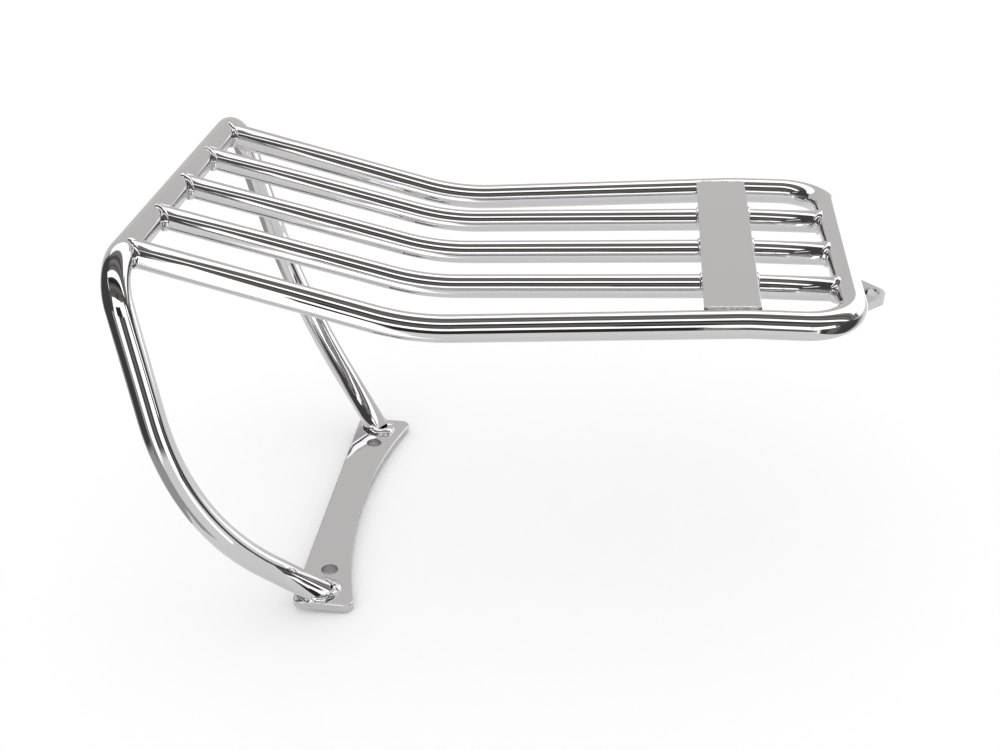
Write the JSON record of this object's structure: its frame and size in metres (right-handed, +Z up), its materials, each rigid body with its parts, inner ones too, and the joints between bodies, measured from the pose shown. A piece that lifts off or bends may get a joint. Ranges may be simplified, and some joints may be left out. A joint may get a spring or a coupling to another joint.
{
  "type": "motorcycle luggage rack",
  "caption": "Chromed tubular luggage rack that bolts to a short rear fender, with a slatted deck, a raised rear hoop and a front tongue.",
  "frame": {"origin": "midway between the two fender bolt holes, on the underside of the fender plate", "axes": "+X forward to the seat along the level deck, +Y to the machine's left side, +Z up"},
  "size_m": [0.3476, 0.2326, 0.2009],
  "materials": {
    "chrome": "bright chrome plating on steel"
  },
  "bodies": {
    "root": {"cross_strap": "chrome", "fender_plate": "chrome", "front_bracket": "chrome", "perimeter_rail": "chrome", "rear_hoop": "chrome", "slat_bar_far": "chrome", "slat_bar_middle": "chrome", "slat_bar_near": "chrome", "weld_bracket_front": "chrome", "weld_bracket_rear": "chrome", "weld_hoop_bar_far": "chrome", "weld_hoop_bar_middle": "chrome", "weld_hoop_bar_near": "chrome", "weld_hoop_rail_far": "chrome", "weld_hoop_rail_near": "chrome", "weld_leg_far": "chrome", "weld_leg_near": "chrome", "weld_nose_bar_far": "chrome", "weld_nose_bar_middle": "chrome", "weld_nose_bar_near": "chrome", "weld_strap_bar_far_front": "chrome", "weld_strap_bar_far_rear": "chrome", "weld_strap_bar_middle_front": "chrome", "weld_strap_bar_middle_rear": "chrome", "weld_strap_bar_near_front": "chrome", "weld_strap_bar_near_rear": "chrome", "weld_strap_rail_far": "chrome", "weld_strap_rail_near": "chrome"}
  },
  "joints": []
}
